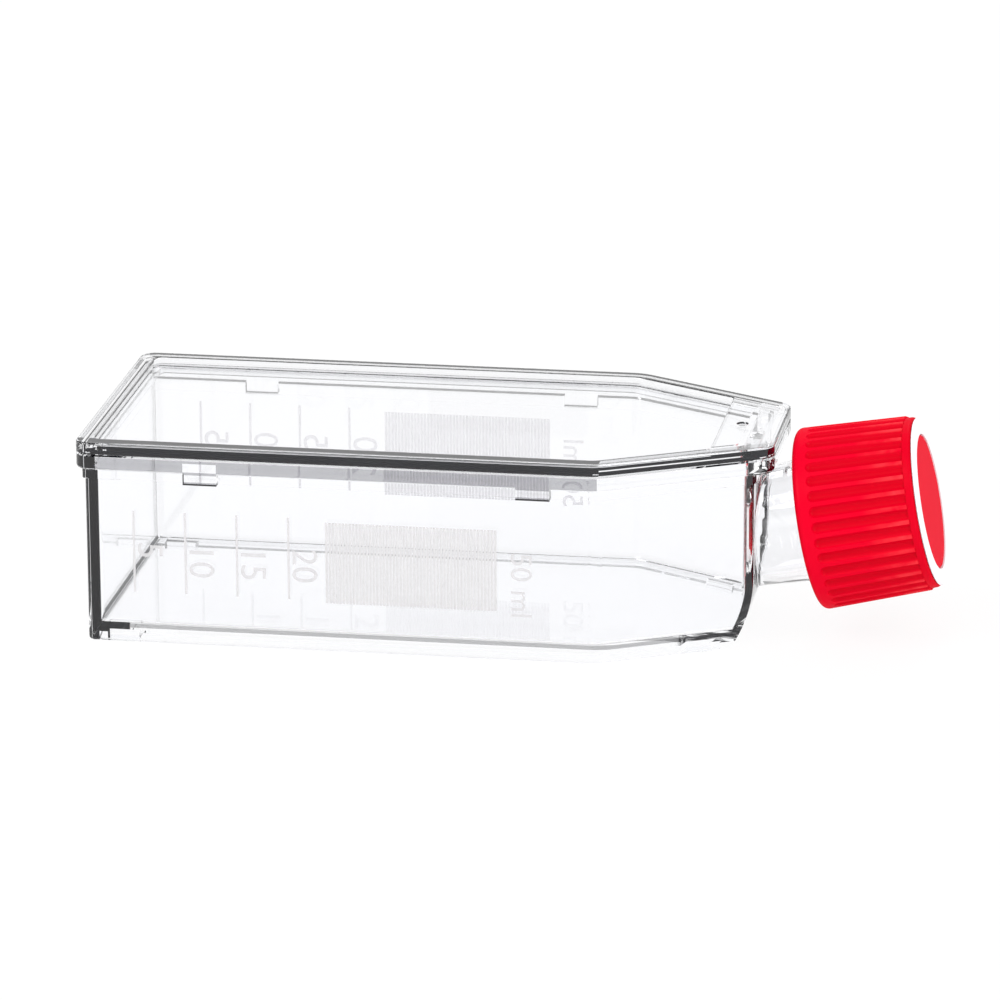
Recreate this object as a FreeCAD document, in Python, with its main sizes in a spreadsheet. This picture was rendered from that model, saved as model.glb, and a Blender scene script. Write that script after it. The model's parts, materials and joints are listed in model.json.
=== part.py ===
import FreeCAD, Part
import math
import os

from FreeCAD import Vector
import Sketcher

# A small culture flask that lies on its flat base, with a screw cap on a neck canted upwards.
# The frame: +X runs from the heel to the neck, +Z is up, and the origin is on the plane that
# the flask stands on, under the middle of its flange. Lengths are in mm, angles in degrees.

SIZES = [
    # the flange that carries the top plate, seen from above
    ("flange_length", 85.2, "heel edge to nose edge"),
    ("flange_width", 40.3, "side edge to side edge"),
    ("straight_length", 65.0, "heel edge to where the sides turn in"),
    ("nose_margin", 2.05, "nose edge beyond the neck's root, on each side"),
    ("heel_radius", 2.0, "corner radius at the heel"),
    ("bend_radius", 5.0, "corner radius where the sides turn in"),
    ("nose_radius", 2.4, "corner radius at the nose"),
    ("least_radius", 0.8, "smallest corner radius seen from above"),
    # heights above the surface that the flask stands on
    ("total_height", 26.0, "top of the stacking rim"),
    ("rim_height", 1.7, "top of the stacking rim above the weld seam"),
    ("floor_height", 2.2, "inner face of the floor"),
    ("floor_thickness", 1.15, "floor moulding"),
    # the tub
    ("wall", 1.2, "side walls"),
    ("overhang", 1.46, "flange beyond the side walls"),
    ("heel_overhang", 1.0, "flange edge to the wall at the heel"),
    ("nose_overhang", 2.45, "flange beyond the nose wall"),
    ("flange_depth", 1.8, "flange at its edge"),
    ("band_depth", 1.4, "thicker band of wall below the flange"),
    ("band_relief", 0.3, "how far that band stands out"),
    ("tab_length", 4.2, "grip tabs below the flange"),
    ("tab_drop", 1.35, "tabs below the flange"),
    ("heel_tab_place", 13.7, "heel edge to the first tab"),
    ("nose_tab_place", 10.0, "start of the second tab to where the sides turn in"),
    ("skirt", 0.95, "thickness of the standing rim under the floor"),
    ("skirt_stop", 6.3, "end of the standing rim to the nose edge"),
    ("foot_length", 4.0, "corner feet along the skirt"),
    ("foot_width", 1.9, "corner feet across the skirt"),
    ("foot_rise", 0.25, "feet above the standing surface"),
    ("heel_foot_place", 3.4, "heel edge to the heel feet"),
    ("nose_foot_place", 11.0, "start of the nose feet to the nose edge"),
    ("toe_height", 4.4, "where the nose wall would bend in if it were not curved"),
    ("toe_lean", 31.0, "lean of the nose wall at its foot"),
    ("toe_radius", 14.8, "curve of the nose wall"),
    ("floor_fillet", 0.5, "inner corner between floor and walls"),
    ("edge_round", 0.45, "outer edges of the moulding"),
    # the welded top plate
    ("plate_thickness", 0.65, "window inside the stacking rim"),
    ("rim_width", 2.2, "stacking rim"),
    ("rim_round", 0.25, "upper edges of the rim"),
    ("window_nose", 7.6, "nose end of the window to the nose edge"),
    ("weld_gap", 0.3, "open seam on both sides of the weld"),
    ("weld_inset", 0.7, "flange edge to the weld"),
    ("weld_width", 0.7, "weld line"),
    ("lip_depth", 0.8, "locating lip inside the tub"),
    ("lip_width", 0.8, "thickness of that lip"),
    ("lip_clearance", 0.12, "lip to the tub's walls"),
    ("gate_radius", 0.75, "dimple where the plate's moulding gate was"),
    ("gate_depth", 0.25, "depth of that dimple"),
    ("gate_place", 5.0, "dimple to the nose edge"),
    # the neck, measured along its axis from where the axis meets the nose wall
    ("neck_tilt", 11.4, "neck axis above the horizontal"),
    ("neck_height", 12.8, "axis height at the nose wall"),
    ("neck_radius", 7.7, "outside under the cap"),
    ("neck_wall", 1.6, "neck wall under the cap"),
    ("neck_taper", 0.4, "how much less the neck's radius is at the nose wall"),
    ("root_fillet", 0.6, "where the neck meets the nose wall"),
    ("mouth_land", 2.3, "end of the thread to the mouth"),
    ("mouth_round", 0.5, "outer edge of the mouth"),
    # the screw thread, shared by neck and cap
    ("thread_pitch", 4.0, "advance in one turn"),
    ("thread_turns", 1.5, "length of each thread"),
    ("thread_depth", 1.2, "height of each thread"),
    ("thread_root", 2.1, "width of a thread at its root"),
    ("thread_crest", 0.8, "width of a thread at its crest"),
    ("thread_clearance", 0.3, "crest of one thread to the other wall"),
    # the cap, measured along its axis from its open end
    ("cap_standoff", 6.2, "nose wall to the cap's open end"),
    ("cap_thread_start", 2.0, "open end to the start of its thread"),
    ("cap_wall", 2.17, "bore to the rib crests at the open end"),
    ("cap_taper", 0.51, "how much less the crests' radius is at the closed end"),
    ("rib_count", 36, "ribs round the cap"),
    ("rib_groove_radius", 0.8, "round-bottomed grooves between ribs"),
    ("rib_groove_depth", 0.48, "grooves below the crests"),
    ("rib_start", 1.7, "open end to the tip of each groove"),
    ("rib_tip_flat", 0.04, "flat at the tip of each groove"),
    ("cap_round", 0.8, "edge at the open end, and the corner inside the closed end"),
    ("band_length", 1.05, "plain band between the ribs and the end face"),
    ("band_step", 0.75, "that band's radius below the crests at the open end"),
    ("end_wall", 1.5, "closed end"),
    ("end_land", 0.35, "end face outside the ring's seat"),
    ("seal_depth", 1.0, "mouth to the inner face of the closed end"),
    ("seal_width", 0.8, "sealing ring on the closed end"),
    ("seal_gap", 0.1, "sealing ring to the mouth"),
    # the insert in the cap's end
    ("ring_height", 0.4, "white ring beyond the end face"),
    ("ring_lap", 0.15, "ring's shoulder over the edge of its seat"),
    ("ring_taper", 0.15, "how much less the ring's radius is at its front"),
    ("ring_seat_depth", 0.8, "seat in the closed end"),
    ("ring_wall", 1.74, "wall of the ring round the disc"),
    ("ring_floor", 0.55, "flange of the ring below the disc"),
    ("ring_round", 0.15, "front edge of the ring and of the ribs"),
    ("turning_gap", 0.1, "ring and membrane to the cap that turns round them"),
    ("disc_recess", 0.1, "disc below the ring's front"),
    ("disc_clearance", 0.08, "disc to the ring round it"),
    ("disc_round", 0.25, "edge of the disc"),
    ("membrane_margin", 0.3, "filter membrane to the sealing ring"),
    ("membrane_land", 1.2, "membrane beyond the gas opening"),
    ("membrane_thickness", 0.25, "filter membrane"),
]

doc = FreeCAD.newDocument("culture_flask")
sheet = doc.addObject("Spreadsheet::Sheet", "sizes")
for row, (alias, value, meaning) in enumerate(SIZES, start=1):
    sheet.set(f"A{row}", meaning)
    sheet.set(f"B{row}", str(value))
    sheet.setAlias(f"B{row}", alias)
doc.recompute()

# The flask's derived places, as expressions on the sheet
HEEL = "(-sizes.flange_length / 2)"
NOSE = "(sizes.flange_length / 2)"
BEND = f"({HEEL} + sizes.straight_length)"
NECK_ROOT_RADIUS = "(sizes.neck_radius - sizes.neck_taper)"
NOSE_HALF_WIDTH = f"({NECK_ROOT_RADIUS} + sizes.nose_margin)"
TAPER = f"atan((sizes.flange_width / 2 - {NOSE_HALF_WIDTH}) / ({NOSE} - {BEND}))"
SEAM = "(sizes.total_height - sizes.rim_height)"
FLANGE_FOOT = f"({SEAM} - sizes.flange_depth)"
PLATE_FOOT = f"({SEAM} + sizes.weld_gap)"
WINDOW_FLOOR = f"({PLATE_FOOT} + sizes.plate_thickness)"
FLOOR_FOOT = "(sizes.floor_height - sizes.floor_thickness)"
NOSE_WALL = f"({NOSE} - sizes.nose_overhang)"
HEEL_SHIFT = "(sizes.overhang - sizes.heel_overhang)"
CAVITY_INSET = "(sizes.overhang + sizes.wall)"
CAVITY_NOSE_INSET = "(sizes.nose_overhang + sizes.wall)"
SKIRT_INSET = "(sizes.overhang + sizes.skirt)"
LIP_INSET = f"({CAVITY_INSET} + sizes.lip_clearance)"
LIP_NOSE_INSET = f"({CAVITY_NOSE_INSET} + sizes.lip_clearance)"
# along the neck's axis from the nose wall
NECK_ROOT = f"(sizes.wall + {NECK_ROOT_RADIUS} * tan(sizes.neck_tilt * 1 deg))"
NECK_THREAD = "(sizes.cap_standoff + sizes.cap_thread_start + sizes.thread_pitch / 2)"
NECK_LENGTH = f"({NECK_THREAD} + sizes.thread_turns * sizes.thread_pitch + sizes.mouth_land)"
BORE_RADIUS = "(sizes.neck_radius - sizes.neck_wall)"
# along the cap's axis from its open end
MOUTH = f"({NECK_LENGTH} - sizes.cap_standoff)"
END_WALL_FACE = f"({MOUTH} + sizes.seal_depth)"
CAP_LENGTH = f"({END_WALL_FACE} + sizes.end_wall)"
BEYOND_CAP = f"({CAP_LENGTH} + sizes.end_wall)"
RIB_LENGTH = f"({CAP_LENGTH} - sizes.band_length)"
CAP_BORE = "(sizes.neck_radius + sizes.thread_depth + sizes.thread_clearance)"
CAP_RADIUS = f"({CAP_BORE} + sizes.cap_wall)"
CAP_DRAFT = f"atan(sizes.cap_taper / {RIB_LENGTH})"
BAND_RADIUS = f"({CAP_RADIUS} - sizes.band_step)"
SEAL_MIDDLE = f"((sizes.neck_radius + {BORE_RADIUS}) / 2)"
SEAL_INNER = f"({SEAL_MIDDLE} - sizes.seal_width / 2)"
MEMBRANE_RADIUS = f"({SEAL_INNER} - sizes.membrane_margin)"
VENT_RADIUS = f"({MEMBRANE_RADIUS} - sizes.membrane_land)"
SEAT_FLOOR = f"({CAP_LENGTH} - sizes.ring_seat_depth)"
SEAT_RADIUS = f"({BAND_RADIUS} - sizes.end_land)"
RING_SEAT_RADIUS = f"({SEAT_RADIUS} - sizes.turning_gap)"
RING_RADIUS = f"({SEAT_RADIUS} + sizes.ring_lap)"
RING_WELL_RADIUS = f"({RING_SEAT_RADIUS} - sizes.ring_wall)"
RING_FOOT = f"({SEAT_FLOOR} + sizes.turning_gap)"
RING_FRONT = f"({CAP_LENGTH} + sizes.ring_height)"
DISC_RADIUS = f"({RING_WELL_RADIUS} - sizes.disc_clearance)"
DISC_FOOT = f"({RING_FOOT} + sizes.ring_floor)"
DISC_FRONT = f"({RING_FRONT} - sizes.disc_recess)"

THROUGH = 60.0  # longer than any cut that runs right through
OVERLAP = 0.4  # how far a feature is sunk into the one that it joins
NEAR = 0.01  # two places closer than this are the same place
EDGE_STEPS = 6  # an edge is looked at in this many steps


def value(expression):
    """The number that an expression on the sheet gives."""
    result = sheet.evalExpression(expression)
    return float(getattr(result, "Value", result))


def bind(thing, **expressions):
    """Ties properties of an object to expressions on the sheet."""
    for name, expression in expressions.items():
        thing.setExpression(name.replace("__", "."), str(expression))


def new_body(name):
    """A PartDesign body whose label is the piece's name."""
    body = doc.addObject("PartDesign::Body", name)
    body.Label = name
    return body


def plane_of(body, role):
    """One of the body's own origin planes."""
    return next(f for f in body.Origin.OriginFeatures if f.Role == role)


def corner_arc(before, corner, after, radius):
    """Where a corner's arc leaves each side, and the arc's centre."""
    back = (before - corner).normalize()
    ahead = (after - corner).normalize()
    half = back.getAngle(ahead) / 2
    reach = radius / math.tan(half)
    middle = (back + ahead).normalize() * (radius / math.sin(half))
    return corner + back * reach, corner + ahead * reach, corner + middle


def hold(sketch, kind, *geometry, expression):
    """A dimension in a sketch, tied to the sheet."""
    number = sketch.addConstraint(Sketcher.Constraint(kind, *geometry, value(expression)))
    name = f"{kind}_{number}"
    sketch.renameConstraint(number, name)
    sketch.setExpression(f"Constraints.{name}", str(expression))


def add_loop(sketch, corners):
    """A closed run of straight sides. Each corner is (x, y) or (x, y, radius), in expressions on the
    sheet. A rounded corner keeps its sharp point, which carries its dimensions."""
    count = len(corners)
    at = [Vector(value(c[0]), value(c[1]), 0) for c in corners]
    arcs = [None] * count
    for i, corner in enumerate(corners):
        if len(corner) > 2:
            arcs[i] = corner_arc(at[i - 1], at[i], at[(i + 1) % count], value(corner[2]))
    sides = []
    for i in range(count):
        j = (i + 1) % count
        start = arcs[i][1] if arcs[i] else at[i]
        end = arcs[j][0] if arcs[j] else at[j]
        sides.append(sketch.addGeometry(Part.LineSegment(start, end), False))
    for i, corner in enumerate(corners):
        before, after = sides[i - 1], sides[i]
        if arcs[i]:
            start, end, centre = arcs[i]
            left_turn = (start - centre).cross(end - centre).z > 0
            ends = (start, end) if left_turn else (end, start)
            angles = [math.atan2((p - centre).y, (p - centre).x) for p in ends]
            circle = Part.Circle(centre, Vector(0, 0, 1), value(corner[2]))
            arc = sketch.addGeometry(Part.ArcOfCircle(circle, *angles), False)
            near, far = (1, 2) if left_turn else (2, 1)
            sketch.addConstraint(Sketcher.Constraint("Tangent", before, 2, arc, near))
            sketch.addConstraint(Sketcher.Constraint("Tangent", arc, far, after, 1))
            hold(sketch, "Radius", arc, expression=corner[2])
            held = sketch.addGeometry(Part.Point(at[i]), True)
            sketch.addConstraint(Sketcher.Constraint("PointOnObject", held, 1, before))
            sketch.addConstraint(Sketcher.Constraint("PointOnObject", held, 1, after))
        else:
            held = after
            sketch.addConstraint(Sketcher.Constraint("Coincident", before, 2, after, 1))
        hold(sketch, "DistanceX", -1, 1, held, 1, expression=corner[0])
        hold(sketch, "DistanceY", -1, 1, held, 1, expression=corner[1])


def add_sketch(body, name, role, *loops, lift=None):
    """A sketch of closed loops on one of the body's origin planes, or lifted off it."""
    sketch = body.newObject("Sketcher::SketchObject", name)
    sketch.AttachmentSupport = [(plane_of(body, role), "")]
    sketch.MapMode = "FlatFace"
    if lift:
        bind(sketch, AttachmentOffset__Base__z=lift)
    for corners in loops:
        add_loop(sketch, corners)
    return sketch


def add_circle(sketch, x, y, radius):
    """A circle in a sketch, its centre and radius in expressions."""
    centre = Vector(value(x), value(y), 0)
    circle = sketch.addGeometry(Part.Circle(centre, Vector(0, 0, 1), value(radius)), False)
    hold(sketch, "Radius", circle, expression=radius)
    hold(sketch, "DistanceX", -1, 1, circle, 3, expression=x)
    hold(sketch, "DistanceY", -1, 1, circle, 3, expression=y)


def add_axis(sketch, side):
    """A construction line along one side, to turn the sketch about."""
    line = sketch.addGeometry(sketch.Geometry[side], True)
    for end in (1, 2):
        sketch.addConstraint(Sketcher.Constraint("Coincident", line, end, side, end))


def pad(body, name, sketch, length):
    """Material from a sketch upwards."""
    feature = body.newObject("PartDesign::Pad", name)
    feature.Profile = sketch
    bind(feature, Length=length)
    doc.recompute()
    return feature


def pocket(body, name, sketch, depth=None, upward=False):
    """A cut from a sketch, or right through on both sides of it."""
    feature = body.newObject("PartDesign::Pocket", name)
    feature.Profile = sketch
    feature.Reversed = upward
    if depth:
        bind(feature, Length=depth)
    else:
        feature.Type = "ThroughAll"
        feature.Midplane = True
    doc.recompute()
    return feature


def turn(body, name, sketch, axis="V_Axis", cut=False):
    """A sketch turned a full circle, as material or as a cut."""
    kind = "PartDesign::Groove" if cut else "PartDesign::Revolution"
    feature = body.newObject(kind, name)
    feature.Profile = sketch
    feature.ReferenceAxis = (sketch, [axis])
    feature.Angle = 360
    doc.recompute()
    return feature


def add_thread(body, name, wall, crest, start):
    """A thread ridge that climbs the Z axis: it stands on the wall's radius and reaches its crest's."""
    root = f"({wall} + {OVERLAP} * ({wall} - {crest}) / abs({wall} - {crest}))"
    profile = add_sketch(
        body,
        f"{name}_profile",
        "XZ_Plane",
        [
            (root, f"({start} - sizes.thread_root / 2)"),
            (crest, f"({start} - sizes.thread_crest / 2)"),
            (crest, f"({start} + sizes.thread_crest / 2)"),
            (root, f"({start} + sizes.thread_root / 2)"),
        ],
    )
    helix = body.newObject("PartDesign::AdditiveHelix", name)
    helix.Profile = profile
    helix.ReferenceAxis = (profile, ["V_Axis"])
    helix.Mode = "pitch-turns-angle"
    bind(helix, Pitch="sizes.thread_pitch", Turns="sizes.thread_turns")
    doc.recompute()


def edges_where(shape, test):
    """The names of the edges whose every point passes a test."""
    names = []
    for number, edge in enumerate(shape.Edges, start=1):
        start, end = edge.ParameterRange
        places = [start + (end - start) * step / EDGE_STEPS for step in range(EDGE_STEPS + 1)]
        if all(test(edge.valueAt(place)) for place in places):
            names.append(f"Edge{number}")
    return names


def at_height(height):
    """A test for points at one height, which is an expression on the sheet."""
    level = value(height)
    return lambda point: abs(point.z - level) < NEAR


def fillet(body, name, test, radius):
    """Rounds the edges of the body's last feature that pass a test."""
    base = body.Tip
    feature = body.newObject("PartDesign::Fillet", name)
    feature.Base = (base, edges_where(base.Shape, test))
    bind(feature, Radius=radius)
    doc.recompute()
    return feature


def plan(inset, nose_inset, heel_shift="0"):
    """The flask seen from above: a six-sided outline with its sides moved in from the flange's edge by
    inset, its nose edge by nose_inset, and its heel edge by heel_shift less than inset."""
    side = f"(sizes.flange_width / 2 - {inset})"
    heel = f"({HEEL} + {inset} - {heel_shift})"
    bend = f"({BEND} - {inset} * tan({TAPER} / 2))"
    nose = f"({NOSE} - {nose_inset})"
    drop = f"(({inset} - {nose_inset} * sin({TAPER})) / cos({TAPER}))"
    nose_side = f"({NOSE_HALF_WIDTH} - {drop})"
    corners = [
        (heel, side, "heel_radius"),
        (bend, side, "bend_radius"),
        (nose, nose_side, "nose_radius"),
    ]
    rounded = [(x, y, f"max(sizes.{r} - {inset}; sizes.least_radius)") for x, y, r in corners]
    mirrored = [(x, f"(-{y})", r) for x, y, r in rounded]
    return mirrored + rounded[::-1]


def rectangle(x, length, y, width):
    """A rectangle from one corner, in expressions."""
    right, top = f"({x} + {length})", f"({y} + {width})"
    return [(x, y), (right, y), (right, top), (x, top)]


def toe_cutter(inset):
    """The region beyond the nose wall, whose foot curves in, seen from the side."""
    wall = f"({NOSE_WALL} - {inset})"
    bend = f"(sizes.toe_height + {inset} * tan(sizes.toe_lean * 1 deg / 2))"
    top = f"({bend} + sizes.toe_radius)"
    leant = f"({wall} - ({bend} + {THROUGH}) * tan(sizes.toe_lean * 1 deg))"
    beyond = f"({wall} + {THROUGH})"
    return [
        (wall, top),
        (wall, bend, f"(sizes.toe_radius - {inset})"),
        (leant, f"(-{THROUGH})"),
        (beyond, f"(-{THROUGH})"),
        (beyond, top),
    ]


def on_neck_axis(thing, along):
    """Places a piece made about its own Z axis on the neck's axis, its zero a distance along it."""
    thing.Placement = FreeCAD.Placement(Vector(), FreeCAD.Rotation(Vector(0, 1, 0), 1))
    bind(
        thing,
        Placement__Base__x=f"{NOSE_WALL} + {along} * cos(sizes.neck_tilt * 1 deg)",
        Placement__Base__z=f"sizes.neck_height + {along} * sin(sizes.neck_tilt * 1 deg)",
        Placement__Rotation__Angle="(90 - sizes.neck_tilt) * 1 deg",
    )


def both_sides(x, length, y, width):
    """Two rectangles, one each side of the flask's middle plane."""
    return [rectangle(x, length, y, width), rectangle(x, length, f"(-{y})", f"(-{width})")]


def make_tub_form():
    """The outside of the tub, solid: walls, standing rim, feet, flange, band and tabs."""
    body = new_body("tub_form")
    wall_line = plan("sizes.overhang", "sizes.nose_overhang", HEEL_SHIFT)
    walls = add_sketch(body, "wall_plan", "XY_Plane", wall_line)
    pad(body, "walls", walls, SEAM)
    fillet(body, "standing_edge", at_height("0"), "sizes.edge_round")
    toe = add_sketch(body, "toe_side", "XZ_Plane", toe_cutter("0"))
    pocket(body, "toe", toe)

    skirt_line = plan(SKIRT_INSET, "(-sizes.wall)", HEEL_SHIFT)
    underside = add_sketch(body, "underside_plan", "XY_Plane", skirt_line)
    pocket(body, "underside", underside, FLOOR_FOOT, upward=True)
    gap = rectangle(f"({NOSE} - sizes.skirt_stop)", THROUGH, f"(-{THROUGH})", 2 * THROUGH)
    pocket(body, "skirt_gap", add_sketch(body, "gap_plan", "XY_Plane", gap), FLOOR_FOOT, upward=True)

    inner_face = f"(sizes.flange_width / 2 - {SKIRT_INSET} + {OVERLAP})"
    foot_width = f"(sizes.foot_width + {OVERLAP})"
    heel_feet = f"({HEEL} + sizes.heel_foot_place)"
    feet = both_sides(heel_feet, "sizes.foot_length", inner_face, f"(-{foot_width})")
    start = f"({NOSE} - sizes.nose_foot_place)"
    finish = f"({start} + sizes.foot_length * cos({TAPER}))"
    outer = f"({SKIRT_INSET} - {OVERLAP})"
    inner = f"({SKIRT_INSET} + sizes.foot_width)"
    nose_foot = [(start, outer), (finish, outer), (finish, inner), (start, inner)]
    for side in ("", "-"):
        feet.append([(x, f"({side}{taper_side(x, inset)})") for x, inset in nose_foot])
    foot_plan = add_sketch(body, "foot_plan", "XY_Plane", *feet, lift="sizes.foot_rise")
    pad(body, "feet", foot_plan, f"({FLOOR_FOOT} - sizes.foot_rise + {OVERLAP})")

    band_side = "(sizes.overhang - sizes.band_relief)"
    band_nose = "(sizes.nose_overhang - sizes.band_relief)"
    band_foot = f"({FLANGE_FOOT} - sizes.band_depth)"
    band = add_sketch(body, "band_plan", "XY_Plane", plan(band_side, band_nose, HEEL_SHIFT), lift=band_foot)
    pad(body, "band", band, f"(sizes.band_depth + {OVERLAP})")

    flange = add_sketch(body, "flange_plan", "XY_Plane", plan("0", "0"), lift=FLANGE_FOOT)
    pad(body, "flange", flange, "sizes.flange_depth")
    fillet(body, "flange_edge", flange_edge_test(), "sizes.edge_round")

    tabs = []
    tab_width = f"(-(sizes.overhang + {OVERLAP}))"
    for start in (f"({HEEL} + sizes.heel_tab_place)", f"({BEND} - sizes.nose_tab_place)"):
        tabs += both_sides(start, "sizes.tab_length", "(sizes.flange_width / 2)", tab_width)
    tab_foot = f"({FLANGE_FOOT} - sizes.tab_drop)"
    tab_plan = add_sketch(body, "tab_plan", "XY_Plane", *tabs, lift=tab_foot)
    pad(body, "tabs", tab_plan, f"(sizes.tab_drop + sizes.edge_round + {OVERLAP})")
    return body


def taper_side(x, inset):
    """Half the flask's width at x, on a line moved in from the flange's tapered edge."""
    run = f"({x} - {BEND})"
    return f"(sizes.flange_width / 2 - {inset} / cos({TAPER}) - {run} * tan({TAPER}))"


def flange_edge_test():
    """A test for the lower outer edge of the flange."""
    level = at_height(FLANGE_FOOT)
    side = value("sizes.flange_width / 2 - sizes.overhang / 2")
    heel = value(f"{HEEL} + sizes.heel_overhang / 2")
    nose = value(f"{NOSE} - sizes.overhang / 2")

    def test(point):
        if not level(point):
            return False
        edge = value(taper_side(point.x, "sizes.overhang / 2"))
        return point.x < heel or point.x > nose or abs(point.y) > min(side, edge)

    return test


def make_cavity_core():
    """The space inside the tub, open at the top."""
    body = new_body("cavity_core")
    walls = plan(CAVITY_INSET, CAVITY_NOSE_INSET, HEEL_SHIFT)
    inside = add_sketch(body, "cavity_plan", "XY_Plane", walls, lift="sizes.floor_height")
    pad(body, "space", inside, f"({SEAM} - sizes.floor_height + {OVERLAP})")
    fillet(body, "floor_edge", at_height("sizes.floor_height"), "sizes.floor_fillet")
    pocket(body, "toe", add_sketch(body, "toe_side", "XZ_Plane", toe_cutter("sizes.wall")))
    return body


def make_neck_form():
    """The outside of the neck with its thread, solid, about its own axis."""
    body = new_body("neck_form")
    half = add_sketch(
        body, "neck_half", "XZ_Plane",
        [
            ("0", f"(-{NECK_ROOT})"),
            (NECK_ROOT_RADIUS, f"(-{NECK_ROOT})"),
            (NECK_ROOT_RADIUS, "0"),
            ("sizes.neck_radius", "sizes.cap_standoff"),
            ("sizes.neck_radius", NECK_LENGTH, "sizes.mouth_round"),
            ("0", NECK_LENGTH),
        ],
    )
    turn(body, "neck_wall", half)
    crest = "(sizes.neck_radius + sizes.thread_depth)"
    add_thread(body, "neck_thread", "sizes.neck_radius", crest, NECK_THREAD)
    on_neck_axis(body, "0")
    return body


def make_flask_body():
    """Tub and neck in one moulding: the outer forms joined, less the cavity and the bore."""
    outside = doc.addObject("Part::Fuse", "flask_outside")
    outside.Base, outside.Tool = make_tub_form(), make_neck_form()
    bore = doc.addObject("Part::Cylinder", "bore_core")
    bore_length = f"({NECK_LENGTH} + 2 * {NECK_ROOT} + {OVERLAP})"
    bind(bore, Radius=BORE_RADIUS, Height=bore_length)
    on_neck_axis(bore, f"(-2 * {NECK_ROOT})")
    inside = doc.addObject("Part::Fuse", "flask_inside")
    inside.Base, inside.Tool = make_cavity_core(), bore
    hollowed = doc.addObject("Part::Cut", "flask_hollowed")
    hollowed.Base, hollowed.Tool = outside, inside
    doc.recompute()

    moulding = doc.addObject("Part::Fillet", "flask_moulding")
    moulding.Base = hollowed
    radius = value("sizes.root_fillet")
    moulding.Edges = [(number, radius, radius) for number in neck_root_edges(hollowed.Shape)]
    doc.recompute()
    moulding.Label = "flask_body"
    return moulding


def neck_root_edges(shape):
    """The numbers of the edges where the outside of the neck leaves the nose wall."""
    tilt = math.radians(value("sizes.neck_tilt"))
    axis = Vector(math.cos(tilt), 0, math.sin(tilt))
    foot = Vector(value(NOSE_WALL), 0, value("sizes.neck_height"))
    root = value(NECK_ROOT_RADIUS)
    reach = value(NECK_ROOT)

    def test(point):
        along = (point - foot).dot(axis)
        out = (point - foot - axis * along).Length
        return abs(out - root) < NEAR + value("sizes.root_fillet") / 4 and abs(along) < reach

    return [int(name.removeprefix("Edge")) for name in edges_where(shape, test)]


def make_top_plate():
    """The plate welded over the tub, with a raised rim that the next flask stands in."""
    body = new_body("top_plate")
    weld_inner = "(sizes.weld_inset + sizes.weld_width)"
    weld_line = [plan("sizes.weld_inset", "sizes.weld_inset"), plan(weld_inner, weld_inner)]
    weld = add_sketch(body, "weld_plan", "XY_Plane", *weld_line, lift=SEAM)
    pad(body, "weld", weld, f"(sizes.weld_gap + {OVERLAP})")
    plate = add_sketch(body, "plate_plan", "XY_Plane", plan("0", "0"), lift=PLATE_FOOT)
    pad(body, "plate", plate, f"(sizes.total_height - {PLATE_FOOT})")

    window_edge = plan("sizes.rim_width", "sizes.window_nose")
    window = add_sketch(body, "window_plan", "XY_Plane", window_edge, lift=WINDOW_FLOOR)
    pocket(body, "window", window, "sizes.total_height", upward=True)
    fillet(body, "rim_edges", at_height("sizes.total_height"), "sizes.rim_round")
    gate = add_sketch(body, "gate_plan", "XY_Plane", lift="(sizes.total_height - sizes.gate_depth)")
    add_circle(gate, f"({NOSE} - sizes.gate_place)", "0", "sizes.gate_radius")
    pocket(body, "gate", gate, "sizes.total_height", upward=True)

    lip_inner = f"({LIP_INSET} + sizes.lip_width)"
    lip_nose_inner = f"({LIP_NOSE_INSET} + sizes.lip_width)"
    lip_line = [
        plan(LIP_INSET, LIP_NOSE_INSET, HEEL_SHIFT),
        plan(lip_inner, lip_nose_inner, HEEL_SHIFT),
    ]
    lip_foot = f"({PLATE_FOOT} - sizes.lip_depth)"
    lip = add_sketch(body, "lip_plan", "XY_Plane", *lip_line, lift=lip_foot)
    pad(body, "lip", lip, f"(sizes.lip_depth + {OVERLAP})")
    return body


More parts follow.
